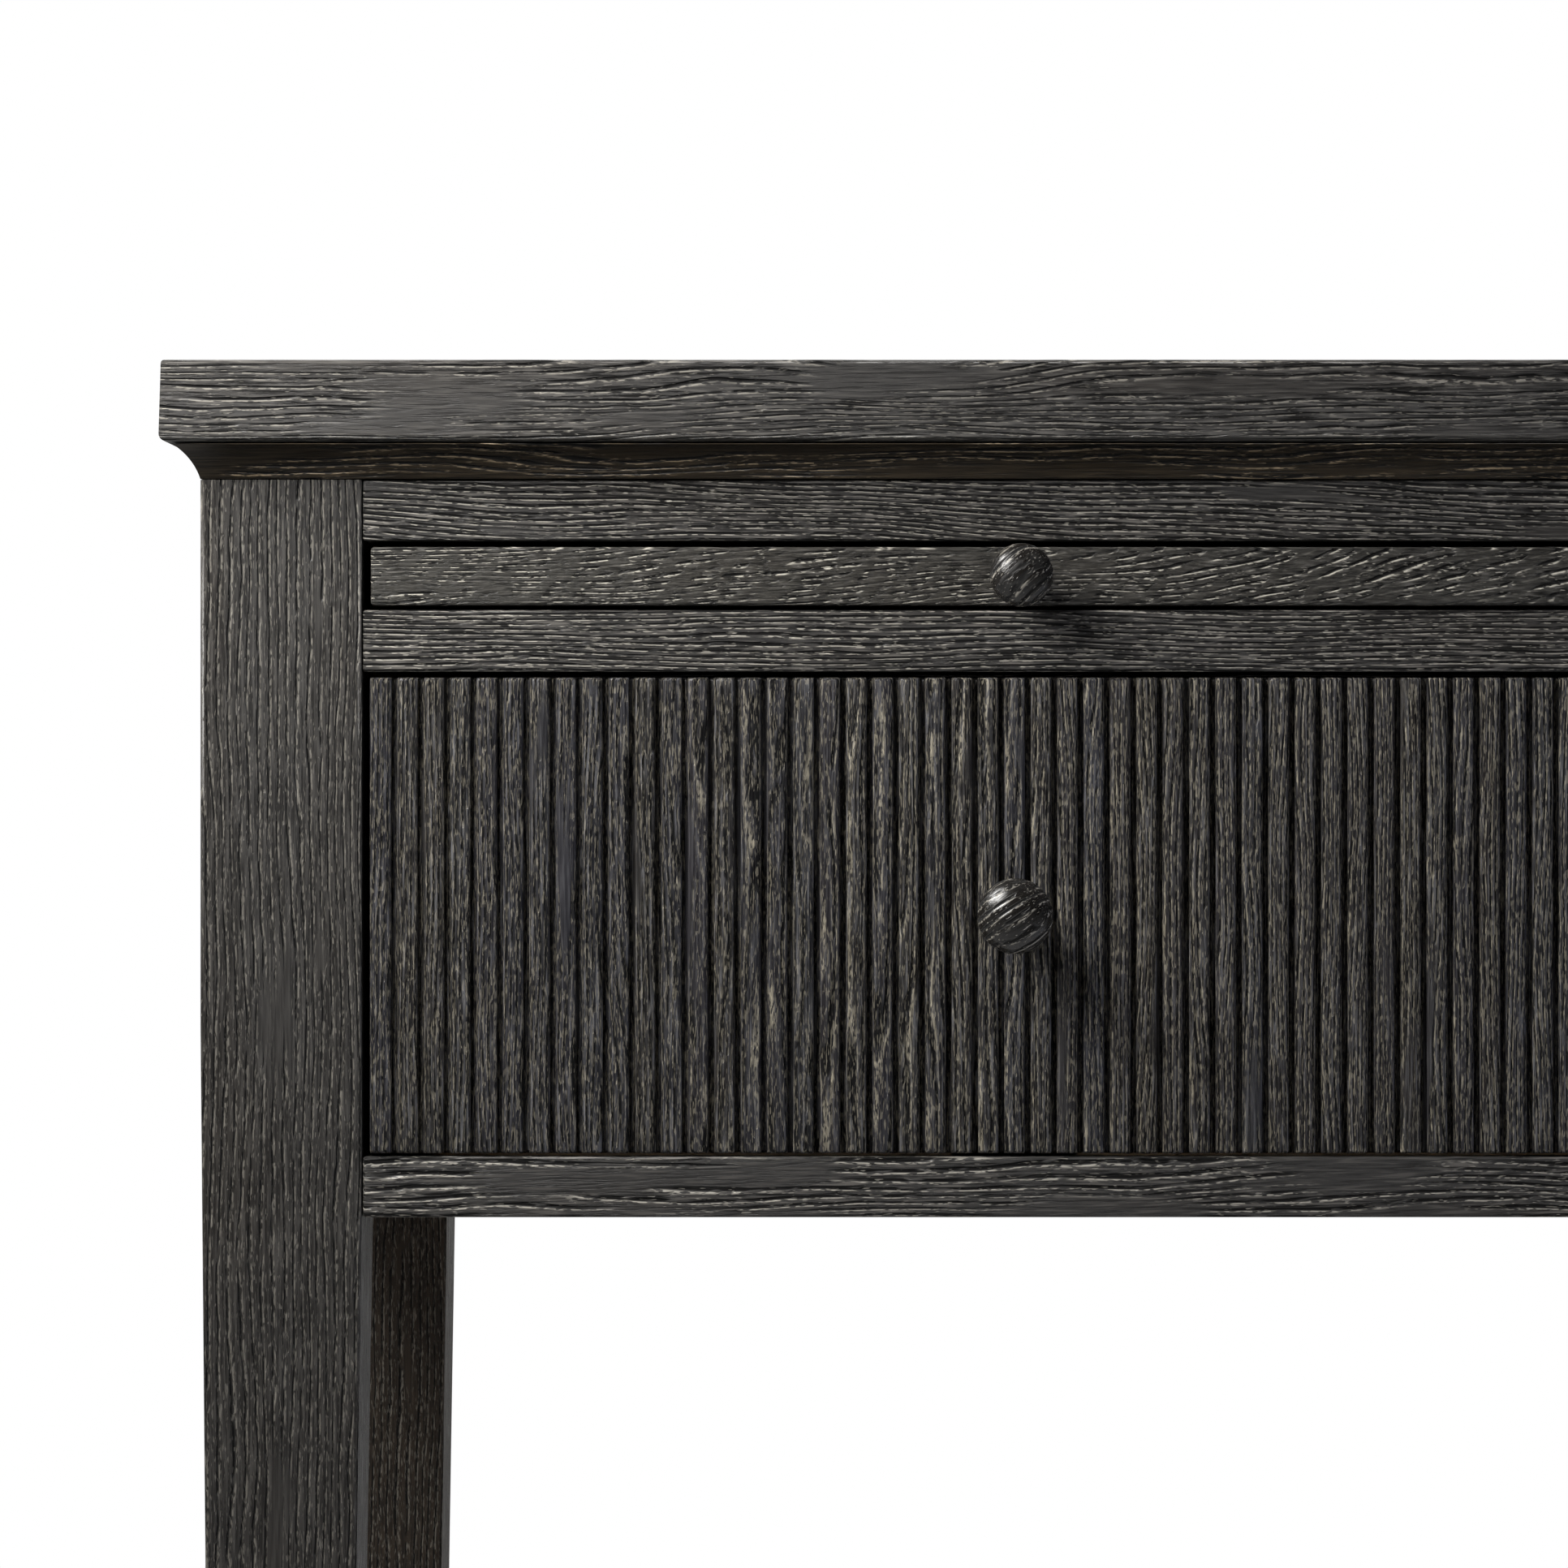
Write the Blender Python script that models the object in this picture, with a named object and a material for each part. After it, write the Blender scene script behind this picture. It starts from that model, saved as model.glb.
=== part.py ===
"""Console table in black oak: three reeded drawers, each with a pull-out slide above it.

Metres, +Z up. The table stands on z = 0, its width runs along X, and its front faces -Y.
The origin is on the floor under the middle of the whole box, knobs included.
"""

import math

import bmesh
import bpy
from mathutils import Matrix, Vector

# Driving dimensions
HEIGHT = 0.813
BAY_WIDTH = 0.4128
BAYS = ("left", "centre", "right")
LEG_WIDTH = 0.051
STILE_WIDTH = 0.038
FRAME_DEPTH = 0.4816  # front face of the front legs to back face of the rear legs
GAP = 0.0003  # between pieces that touch
RUNNING_GAP = 0.0006  # between a sliding piece and what carries it

TOP_THICKNESS = 0.0259
TOP_OVERHANG = 0.0120
TOP_LEAN = 0.0007  # how far the side faces come out between upper and lower arris
UPPER_ARRIS = 0.0011
LOWER_ARRIS = 0.0023
COVE_HEIGHT = 0.0114
COVE_RADIUS = 0.0191
COVE_LEAN = math.radians(16.7)  # the cove's slope, from upright, where it meets the legs
COVE_WIDTH = 0.060

TOP_RAIL_HEIGHT = 0.0192
SLIDE_OPENING = 0.0220
MID_RAIL_HEIGHT = 0.0194
DRAWER_OPENING = 0.1533
BOTTOM_RAIL_HEIGHT = 0.0192
RAIL_DEPTH = 0.060
FACE_SETBACK = 0.0008  # rails and panels behind the legs' faces
BOARD_THICKNESS = 0.019

INNER_TAPER = 0.0085
OUTER_TAPER = 0.0050
OUTER_TAPER_RISE = 0.060  # the outer taper starts this far above the apron's lower edge
GLIDE_RADIUS = 0.011
GLIDE_HEIGHT = 0.004

DRAWER_SIDE_GAP = 0.00245
DRAWER_TOP_GAP = 0.0019
DRAWER_BOTTOM_GAP = 0.0010
DRAWER_FRONT_THICKNESS = 0.020
DRAWER_DEPTH = 0.440
DRAWER_WALL = 0.012
DRAWER_WALL_DROP = 0.020  # the sides end this far below the front's upper edge
DRAWER_SIDE_INSET = 0.0065  # the sides stand in from the front's ends
BOTTOM_THICKNESS = 0.006
BOTTOM_RISE = 0.011
GROOVE_DEPTH = 0.006

REED_COUNT = 49
EDGE_REED = 0.0078
REED_GROOVE_WIDTH = 0.0013
REED_GROOVE_DEPTH = 0.0030
REED_SHOULDER = 0.0010

SLIDE_THICKNESS = 0.0185
SLIDE_SIDE_GAP = 0.0028
SLIDE_BOTTOM_GAP = 0.0015
SLIDE_DEPTH = 0.400
SLIDE_KNOB_OFFSET = 0.0020  # to the right of the bay's middle
GUIDE_LIP = 0.010
GUIDE_WEB = 0.0015

DRAWER_KNOB_RADIUS = 0.0119
SLIDE_KNOB_RADIUS = 0.0100
KNOB_PROJECTION = 1.9  # of the knob's radius
SPIGOT_RADIUS = 0.0035
SPIGOT_LENGTH = 0.014
KNOB_STEPS = 20

# Levels, from the top down
Z_TOP_UNDER = HEIGHT - TOP_THICKNESS
Z_FRAME_TOP = Z_TOP_UNDER - COVE_HEIGHT
Z_SLIDE_TOP = Z_FRAME_TOP - TOP_RAIL_HEIGHT
Z_SLIDE_UNDER = Z_SLIDE_TOP - SLIDE_OPENING
Z_DRAWER_TOP = Z_SLIDE_UNDER - MID_RAIL_HEIGHT
Z_DRAWER_UNDER = Z_DRAWER_TOP - DRAWER_OPENING
Z_APRON_UNDER = Z_DRAWER_UNDER - BOTTOM_RAIL_HEIGHT

# Places across the width and the depth
BAY_PITCH = BAY_WIDTH + STILE_WIDTH
APRON_WIDTH = BAY_PITCH * len(BAYS) - STILE_WIDTH
FRAME_WIDTH = APRON_WIDTH + 2 * LEG_WIDTH
KNOB_OVERHANG = DRAWER_KNOB_RADIUS * KNOB_PROJECTION - FACE_SETBACK  # past the legs' faces
Y_FRONT = -(FRAME_DEPTH + TOP_OVERHANG - KNOB_OVERHANG) / 2
Y_BACK = Y_FRONT + FRAME_DEPTH
Y_FACE = Y_FRONT + FACE_SETBACK
Y_INSIDE = Y_BACK - FACE_SETBACK - BOARD_THICKNESS

BLACK_OAK = ((0.055, 0.052, 0.048), 0.55)
BLACK_OAK_PALE = ((0.075, 0.072, 0.068), 0.50)
BLACK_OAK_DARK = ((0.030, 0.026, 0.022), 0.60)
PLAIN_OAK = ((0.50, 0.36, 0.22), 0.50)
NYLON = ((0.62, 0.60, 0.56), 0.40)


def clear_scene():
    for old in list(bpy.data.objects):
        bpy.data.objects.remove(old, do_unlink=True)


def add(name, bm, centre, finish, parent=None, smooth=False):
    """Makes the mesh an object with its own material, its origin at `centre` in the table's frame."""
    bmesh.ops.recalc_face_normals(bm, faces=bm.faces)
    mesh = bpy.data.meshes.new(name)
    bm.to_mesh(mesh)
    bm.free()
    if smooth:
        mesh.shade_smooth()
        mesh.set_sharp_from_angle(angle=math.radians(35))
    colour, roughness = finish
    material = bpy.data.materials.new(name)
    material.use_nodes = True
    shader = material.node_tree.nodes["Principled BSDF"]
    shader.inputs["Base Color"].default_value = (*colour, 1.0)
    shader.inputs["Roughness"].default_value = roughness
    shader.inputs["Metallic"].default_value = 0.0
    mesh.materials.append(material)
    piece = bpy.data.objects.new(name, mesh)
    bpy.context.scene.collection.objects.link(piece)
    piece.location = Vector(centre) - (parent.location if parent else Vector())
    piece.parent = parent
    return piece


def slider(name, x, z):
    """The empty that a drawer's or a slide's pieces are parented to, in the middle of its front."""
    empty = bpy.data.objects.new(name, None)
    bpy.context.scene.collection.objects.link(empty)
    empty.location = (x, Y_FACE, z)
    return empty


def ease(bm, edges, width, segments=1):
    bmesh.ops.bevel(
        bm,
        geom=list(edges),
        offset=width,
        offset_type="OFFSET",
        affect="EDGES",
        segments=segments,
        profile=0.5,
        clamp_overlap=True,
        material=-1,
    )


def board(name, low, high, finish, arris=0.0, parent=None):
    """A straight board between two corners, its edges eased where an arris is given."""
    low, high = Vector(low), Vector(high)
    bm = bmesh.new()
    bmesh.ops.create_cube(bm, size=1.0, matrix=Matrix.Diagonal((*(high - low), 1.0)))
    if arris:
        ease(bm, bm.edges, arris)
    return add(name, bm, (low + high) / 2, finish, parent)


def length_of_section(name, outline, along, finish, parent=None):
    """A piece with the same section all along: a closed outline of points, swept by a vector."""
    centre = sum((Vector(p) for p in outline), Vector()) / len(outline) + Vector(along) / 2
    bm = bmesh.new()
    face = bm.faces.new([bm.verts.new(Vector(p) - centre) for p in outline])
    swept = bmesh.ops.extrude_face_region(bm, geom=[face])["geom"]
    far_end = [v for v in swept if isinstance(v, bmesh.types.BMVert)]
    bmesh.ops.translate(bm, verts=far_end, vec=along)
    return add(name, bm, centre, finish, parent)


def bay_centre(index):
    return (index - (len(BAYS) - 1) / 2) * BAY_PITCH


def box_of_rings(bm, rings):
    """Closes a stack of four-cornered rings into one block and returns its corner edges."""
    rings = [[bm.verts.new(p) for p in ring] for ring in rings]
    for below, above in zip(rings, rings[1:]):
        for i in range(4):
            bm.faces.new((below[i], below[i - 1], above[i - 1], above[i]))
    bm.faces.new(rings[0])
    bm.faces.new(rings[-1])
    return [bm.edges.get(pair) for pairs in map(zip, rings, rings[1:]) for pair in pairs]


def make_top():
    """The top's side faces lean out downwards, and its lower arris is rounder than its upper one."""
    thickness = TOP_THICKNESS - GAP
    turns = [math.pi / 2 * i / 3 for i in range(4)]
    lower = [
        (LOWER_ARRIS * (1 - math.sin(a)), LOWER_ARRIS * (1 - math.cos(a))) for a in turns
    ]
    crest = thickness - UPPER_ARRIS
    upper = [
        (TOP_LEAN + UPPER_ARRIS * (1 - math.cos(a)), crest + UPPER_ARRIS * math.sin(a))
        for a in turns
    ]
    rings = []
    for inset, z in lower + upper:
        x = FRAME_WIDTH / 2 + TOP_OVERHANG - inset
        y = FRAME_DEPTH / 2 + TOP_OVERHANG - inset
        rings.append([(-x, -y, z), (x, -y, z), (x, y, z), (-x, y, z)])
    bm = bmesh.new()
    ease(bm, box_of_rings(bm, rings), 0.0008)
    add("top_panel", bm, (0.0, (Y_FRONT + Y_BACK) / 2, HEIGHT - thickness), BLACK_OAK_PALE)


def cove_outline():
    """(distance out from the legs' faces, height) round the moulding's section, from its inner foot."""
    height = COVE_HEIGHT - 2 * GAP
    middle_out = COVE_RADIUS * math.cos(COVE_LEAN)
    middle_up = -COVE_RADIUS * math.sin(COVE_LEAN)
    last = math.asin((height - middle_up) / COVE_RADIUS)
    steps = 6
    turns = [COVE_LEAN + (last - COVE_LEAN) * i / steps for i in range(steps + 1)]
    hollow = [
        (middle_out - COVE_RADIUS * math.cos(a), middle_up + COVE_RADIUS * math.sin(a))
        for a in turns
    ]
    return [(-COVE_WIDTH, 0.0), *hollow, (-COVE_WIDTH, height)]


def make_cove(name, side, half_length, reach):
    """One mitred length of moulding. It is shaped along the front and then turned to its side."""
    bm = bmesh.new()
    ring = [
        bm.verts.new((-(half_length + out - GAP / 2), -(reach + out), up))
        for out, up in cove_outline()
    ]
    face = bm.faces.new(ring)
    swept = bmesh.ops.extrude_face_region(bm, geom=[face])["geom"]
    for vert in (v for v in swept if isinstance(v, bmesh.types.BMVert)):
        vert.co.x *= -1.0
    turn = Matrix.Rotation(side * math.pi / 2, 4, "Z")
    bmesh.ops.transform(bm, matrix=turn, verts=bm.verts)
    middle = (0.0, (Y_FRONT + Y_BACK) / 2, Z_FRAME_TOP + GAP)
    add(name, bm, middle, BLACK_OAK_DARK)


def make_leg(name, across, deep):
    """A square leg. The two inner faces taper from the apron down, the two outer ones from a bit above."""
    foot = GLIDE_HEIGHT + GAP
    outer_start = Z_APRON_UNDER + OUTER_TAPER_RISE
    rings = []
    for z in (foot, Z_APRON_UNDER, outer_start, Z_FRAME_TOP):
        outer = OUTER_TAPER * max(0.0, (outer_start - z) / (outer_start - foot))
        inner = LEG_WIDTH - INNER_TAPER * max(0.0, (Z_APRON_UNDER - z) / (Z_APRON_UNDER - foot))
        corners = ((outer, outer), (inner, outer), (inner, inner), (outer, inner))
        rings.append([(-across * u, -deep * v, z) for u, v in corners])
    bm = bmesh.new()
    ease(bm, box_of_rings(bm, rings), 0.0012)
    corner = (across * FRAME_WIDTH / 2, Y_BACK if deep > 0 else Y_FRONT, 0.0)
    add(name, bm, corner, BLACK_OAK_PALE)


def make_glide(name, across, deep):
    """A nylon disc nailed under a leg, its lower edge rounded."""
    bm = bmesh.new()
    bmesh.ops.create_cone(
        bm,
        cap_ends=True,
        segments=20,
        radius1=GLIDE_RADIUS,
        radius2=GLIDE_RADIUS,
        depth=GLIDE_HEIGHT,
    )
    ease(bm, [e for e in bm.edges if all(v.co.z < 0 for v in e.verts)], 0.0010)
    inward = (OUTER_TAPER + LEG_WIDTH - INNER_TAPER) / 2
    x = across * (FRAME_WIDTH / 2 - inward)
    y = Y_BACK - inward if deep > 0 else Y_FRONT + inward
    add(name, bm, (x, y, GLIDE_HEIGHT / 2), NYLON, smooth=True)


def make_front_frame():
    """Flat-laid rails between the legs, and the stiles that part the bays."""
    half = APRON_WIDTH / 2 - GAP
    y0, y1 = Y_FACE, Y_FACE + RAIL_DEPTH
    board(
        "top_rail", (-half, y0, Z_SLIDE_TOP), (half, y1, Z_FRAME_TOP), BLACK_OAK, 0.0008
    )
    board(
        "bottom_rail",
        (-half, y0, Z_APRON_UNDER),
        (half, y1, Z_DRAWER_UNDER),
        BLACK_OAK,
        0.0008,
    )
    for index, bay in enumerate(BAYS):
        x, reach = bay_centre(index), BAY_WIDTH / 2 - GAP
        board(
            f"mid_rail_{bay}",
            (x - reach, y0, Z_DRAWER_TOP),
            (x + reach, y1, Z_SLIDE_UNDER),
            BLACK_OAK,
            0.0008,
        )
    for name, x in (("stile_left", -BAY_PITCH / 2), ("stile_right", BAY_PITCH / 2)):
        reach = STILE_WIDTH / 2
        board(
            name,
            (x - reach, y0, Z_DRAWER_UNDER + GAP),
            (x + reach, y1, Z_SLIDE_TOP - GAP),
            BLACK_OAK_PALE,
            0.0008,
        )


def make_panels():
    """The apron's two sides and its back, between the legs."""
    y0, y1 = Y_FRONT + LEG_WIDTH + GAP, Y_BACK - LEG_WIDTH - GAP
    outer = FRAME_WIDTH / 2 - FACE_SETBACK
    inner = outer - BOARD_THICKNESS
    low, high = Z_APRON_UNDER, Z_FRAME_TOP
    board("side_panel_left", (-outer, y0, low), (-inner, y1, high), BLACK_OAK, 0.0008)
    board("side_panel_right", (inner, y0, low), (outer, y1, high), BLACK_OAK, 0.0008)
    half = APRON_WIDTH / 2 - GAP
    back = Y_BACK - FACE_SETBACK
    board("back_panel", (-half, Y_INSIDE, low), (half, back, high), BLACK_OAK, 0.0008)


def run_back(to_leg):
    """How far a runner or guide goes along Y: from the front rails to a rear leg or to the back."""
    return (Y_BACK - LEG_WIDTH if to_leg else Y_INSIDE) - Y_FACE - RAIL_DEPTH - 2 * GAP


def make_runners():
    """Drawer runners with a side guide on top: L-shaped at the ends, T-shaped between two bays."""
    side_face = FRAME_WIDTH / 2 - FACE_SETBACK - BOARD_THICKNESS - GAP
    shelf = DRAWER_SIDE_GAP + DRAWER_SIDE_INSET + DRAWER_WALL
    guide = DRAWER_SIDE_GAP + DRAWER_SIDE_INSET - RUNNING_GAP
    ends = APRON_WIDTH / 2
    inner = BAY_WIDTH / 2
    places = {
        "left": (-side_face, -ends, False),
        "inner_left": (-inner, -inner - STILE_WIDTH, True),
        "inner_right": (inner, inner + STILE_WIDTH, True),
        "right": (side_face, ends, False),
    }
    under = Z_APRON_UNDER
    ledge = Z_DRAWER_UNDER
    crest = ledge + 0.020
    y0 = Y_FACE + RAIL_DEPTH + GAP
    for name, (first, last, both) in places.items():
        way = math.copysign(1.0, last - first)
        along = (0.0, run_back(to_leg=not both), 0.0)
        foot, top = first - way * both * shelf, first - way * both * guide
        outline = [(foot, under), (last + way * shelf, under), (last + way * shelf, ledge)]
        outline += [(last + way * guide, ledge), (last + way * guide, crest), (top, crest)]
        if both:
            outline += [(top, ledge), (foot, ledge)]
        points = [(x, y0, z) for x, z in outline]
        length_of_section(f"drawer_runner_{name}", points, along, PLAIN_OAK)


def make_guides():
    """Grooved guides that hold the slides' edges: one groove at the ends, two between bays."""
    side_face = FRAME_WIDTH / 2 - FACE_SETBACK - BOARD_THICKNESS - GAP
    ends = APRON_WIDTH / 2
    inner = BAY_WIDTH / 2
    places = {
        "left": (-side_face, -ends, False),
        "inner_left": (-inner, -inner - STILE_WIDTH, True),
        "inner_right": (inner, inner + STILE_WIDTH, True),
        "right": (side_face, ends, False),
    }
    under = Z_SLIDE_UNDER + SLIDE_BOTTOM_GAP
    groove = (under - RUNNING_GAP, under + SLIDE_THICKNESS + RUNNING_GAP)
    low, high = Z_DRAWER_TOP, Z_FRAME_TOP
    y0 = Y_FACE + RAIL_DEPTH + GAP
    for name, (first, last, both) in places.items():
        way = math.copysign(1.0, last - first)
        along = (0.0, run_back(to_leg=not both), 0.0)
        lip, web = last + way * GUIDE_LIP, last + way * GUIDE_WEB
        outline = [(lip, low), (lip, groove[0]), (web, groove[0])]
        outline += [(web, groove[1]), (lip, groove[1]), (lip, high)]
        if both:
            lip, web = first - way * GUIDE_LIP, first - way * GUIDE_WEB
            outline += [(lip, high), (lip, groove[1]), (web, groove[1])]
            outline += [(web, groove[0]), (lip, groove[0]), (lip, low)]
        else:
            outline += [(first, high), (first, low)]
        points = [(x, y0, z) for x, z in outline]
        length_of_section(f"slide_guide_{name}", points, along, PLAIN_OAK)


def make_stop(bay, x):
    """A block glued on the bottom rail, which the shut drawer front meets."""
    y0 = Y_FACE + DRAWER_FRONT_THICKNESS + GAP
    low = Z_DRAWER_UNDER + GAP
    board(
        f"drawer_stop_{bay}",
        (x - 0.020, y0, low),
        (x + 0.020, y0 + 0.016, low + 0.007),
        PLAIN_OAK,
    )


def reeded_outline(width):
    """(x, y) round the drawer front seen from above: flat reeds parted by narrow grooves."""
    pitch = (width - 2 * EDGE_REED) / (REED_COUNT - 2)
    points = [(-width / 2, 0.0)]
    for i in range(REED_COUNT - 1):
        x = -width / 2 + EDGE_REED + i * pitch
        half = REED_GROOVE_WIDTH / 2
        points += [
            (x - half - REED_SHOULDER, 0.0),
            (x - half, REED_SHOULDER),
            (x - half * 0.6, REED_GROOVE_DEPTH),
            (x + half * 0.6, REED_GROOVE_DEPTH),
            (x + half, REED_SHOULDER),
            (x + half + REED_SHOULDER, 0.0),
        ]
    points += [(width / 2, 0.0), (width / 2, DRAWER_FRONT_THICKNESS)]
    return [*points, (-width / 2, DRAWER_FRONT_THICKNESS)]


def bore(piece, x, z, radius):
    """Drills a hole along Y right through a front, for a knob's spigot."""
    bm = bmesh.new()
    turn = Matrix.Rotation(math.pi / 2, 4, "X")
    bmesh.ops.create_cone(
        bm, cap_ends=True, segments=16, radius1=radius, radius2=radius, depth=0.06, matrix=turn
    )
    mesh = bpy.data.meshes.new(f"{piece.name}_drill")
    bm.to_mesh(mesh)
    bm.free()
    drill = bpy.data.objects.new(mesh.name, mesh)
    bpy.context.scene.collection.objects.link(drill)
    drill.location = (x, Y_FACE, z)
    drill.hide_render = True
    drill.display_type = "WIRE"
    cut = piece.modifiers.new("spigot_hole", "BOOLEAN")
    cut.operation = "DIFFERENCE"
    cut.solver = "EXACT"
    cut.object = drill


def make_knob(name, x, z, radius, parent):
    """A turned knob: domed face, full rim, waisted neck and a spigot that goes into the front."""
    reach = radius * KNOB_PROJECTION
    rim = reach - radius * 0.62
    quarter = math.pi / 2
    dome = [
        (radius * math.sin(quarter * i / 5), rim + (reach - rim) * math.cos(quarter * i / 5))
        for i in range(6)
    ]
    under = [(radius * 0.93, rim - radius * 0.20), (radius * 0.62, rim - radius * 0.42)]
    neck = [(radius * 0.46, rim - radius * 0.75), (radius * 0.60, GAP)]
    spigot = [(SPIGOT_RADIUS, GAP), (SPIGOT_RADIUS, -SPIGOT_LENGTH), (0.0, -SPIGOT_LENGTH)]
    bm = bmesh.new()
    verts = [bm.verts.new((r, -y, 0.0)) for r, y in dome + under + neck + spigot]
    edges = [bm.edges.new(pair) for pair in zip(verts, verts[1:])]
    bmesh.ops.spin(
        bm,
        geom=verts + edges,
        cent=(0.0, 0.0, 0.0),
        axis=(0.0, 1.0, 0.0),
        angle=2 * math.pi,
        steps=KNOB_STEPS,
        use_merge=True,
    )
    bmesh.ops.remove_doubles(bm, verts=bm.verts, dist=1e-6)
    add(name, bm, (x, Y_FACE, z), BLACK_OAK_PALE, parent, smooth=True)


def make_drawer(bay, x):
    """A drawer box behind a reeded front. The bottom sits in grooves and runs out under the back."""
    width = BAY_WIDTH - 2 * DRAWER_SIDE_GAP
    low = Z_DRAWER_UNDER + DRAWER_BOTTOM_GAP
    high = Z_DRAWER_TOP - DRAWER_TOP_GAP
    knob_z = (low + high) / 2
    body = slider(f"drawer_{bay}", x, knob_z)
    outline = [(x + u, Y_FACE + v, low) for u, v in reeded_outline(width)]
    rise = (0.0, 0.0, high - low)
    front = length_of_section(f"drawer_{bay}_front", outline, rise, BLACK_OAK, body)
    bore(front, x, knob_z, SPIGOT_RADIUS + GAP)
    make_knob(f"drawer_{bay}_knob", x, knob_z, DRAWER_KNOB_RADIUS, body)

    y0 = Y_FACE + DRAWER_FRONT_THICKNESS + GAP
    y1 = Y_FACE + DRAWER_DEPTH
    side_low, side_high = Z_DRAWER_UNDER + RUNNING_GAP, high - DRAWER_WALL_DROP
    floor = side_low + BOTTOM_RISE
    outer = width / 2 - DRAWER_SIDE_INSET
    inner = outer - DRAWER_WALL
    slot = inner + GROOVE_DEPTH
    lip = (floor - GAP, floor + BOTTOM_THICKNESS + GAP)
    section = [(outer, side_low), (outer, side_high), (inner, side_high), (inner, lip[1])]
    section += [(slot, lip[1]), (slot, lip[0]), (inner, lip[0]), (inner, side_low)]
    for way, hand in ((-1.0, "left"), (1.0, "right")):
        points = [(x + way * u, y0, z) for u, z in section]
        along = (0.0, y1 - y0, 0.0)
        length_of_section(f"drawer_{bay}_side_{hand}", points, along, PLAIN_OAK, body)
    reach = inner - GAP
    board(
        f"drawer_{bay}_back",
        (x - reach, y1 - DRAWER_WALL, lip[1]),
        (x + reach, y1, side_high - 0.004),
        PLAIN_OAK,
        parent=body,
    )
    reach = slot - GAP
    board(
        f"drawer_{bay}_bottom",
        (x - reach, y0, floor),
        (x + reach, y1, floor + BOTTOM_THICKNESS),
        PLAIN_OAK,
        parent=body,
    )


def make_slide(bay, x):
    """A pull-out shelf board with a small knob on its front edge."""
    low = Z_SLIDE_UNDER + SLIDE_BOTTOM_GAP
    high = low + SLIDE_THICKNESS
    knob_x, knob_z = x + SLIDE_KNOB_OFFSET, (low + high) / 2
    body = slider(f"slide_{bay}", x, knob_z)
    reach = BAY_WIDTH / 2 - SLIDE_SIDE_GAP
    shelf = board(
        f"slide_{bay}_board",
        (x - reach, Y_FACE, low),
        (x + reach, Y_FACE + SLIDE_DEPTH, high),
        BLACK_OAK,
        0.0010,
        body,
    )
    bore(shelf, knob_x, knob_z, SPIGOT_RADIUS + GAP)
    make_knob(f"slide_{bay}_knob", knob_x, knob_z, SLIDE_KNOB_RADIUS, body)


clear_scene()
make_top()
make_cove("cove_front", 0, FRAME_WIDTH / 2, FRAME_DEPTH / 2)
make_cove("cove_right", 1, FRAME_DEPTH / 2, FRAME_WIDTH / 2)
make_cove("cove_back", 2, FRAME_WIDTH / 2, FRAME_DEPTH / 2)
make_cove("cove_left", 3, FRAME_DEPTH / 2, FRAME_WIDTH / 2)
for end, deep in (("front", -1), ("rear", 1)):
    for hand, across in (("left", -1), ("right", 1)):
        make_leg(f"leg_{end}_{hand}", across, deep)
        make_glide(f"glide_{end}_{hand}", across, deep)
make_front_frame()
make_panels()
make_runners()
make_guides()
for number, bay_name in enumerate(BAYS):
    make_stop(bay_name, bay_centre(number))
    make_drawer(bay_name, bay_centre(number))
    make_slide(bay_name, bay_centre(number))
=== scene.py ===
"""Console table in wire-brushed black oak, with reeded drawers and a pull-out slide above each of them."""

import math
from functools import partial

import bmesh
import bpy
from mathutils import Euler, Matrix, Vector, noise


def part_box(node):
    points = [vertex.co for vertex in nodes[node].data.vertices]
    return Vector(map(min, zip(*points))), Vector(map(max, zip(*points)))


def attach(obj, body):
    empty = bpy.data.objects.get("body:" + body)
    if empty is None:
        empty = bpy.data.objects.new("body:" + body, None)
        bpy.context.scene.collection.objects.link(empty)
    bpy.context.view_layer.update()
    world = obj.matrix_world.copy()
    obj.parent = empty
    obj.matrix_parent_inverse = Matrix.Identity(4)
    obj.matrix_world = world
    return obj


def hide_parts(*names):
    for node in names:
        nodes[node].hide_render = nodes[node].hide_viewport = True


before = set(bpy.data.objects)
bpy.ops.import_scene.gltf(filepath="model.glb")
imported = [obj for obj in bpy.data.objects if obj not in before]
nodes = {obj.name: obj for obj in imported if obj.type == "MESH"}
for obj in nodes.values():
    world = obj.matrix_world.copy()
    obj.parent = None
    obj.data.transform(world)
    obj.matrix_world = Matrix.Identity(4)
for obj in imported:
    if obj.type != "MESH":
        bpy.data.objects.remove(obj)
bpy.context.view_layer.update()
BAYS = ("left", "centre", "right")


# ---------------------------------------------------------------- Top
# A solid oak top, glued up from five staves. Its front was planed, wire-brushed along the grain,
# stained black and rubbed with pale wax, and its upper and lower arrises were rounded. Along the cracks the
# pale marks are partly painted highlight, and the cracks' near black is painted shade.

def linear(hex_colour, alpha=1.0):
    """An sRGB hex colour as the linear values that a shader takes."""
    parts = [int(hex_colour[i:i + 2], 16) / 255 for i in (1, 3, 5)]
    return (*[p / 12.92 if p <= 0.04045 else ((p + 0.055) / 1.055) ** 2.4 for p in parts], alpha)


def add_node(tree, kind, sockets=None, **settings):
    """Adds one node with its settings. A socket takes a plain value or another node's output."""
    made = tree.nodes.new("ShaderNode" + kind)
    for key, value in settings.items():
        setattr(made, key, value)
    for key, value in (sockets or {}).items():
        if isinstance(value, bpy.types.NodeSocket):
            tree.links.new(value, made.inputs[key])
        else:
            made.inputs[key].default_value = value
    return made.outputs[0] if made.outputs else made


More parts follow.
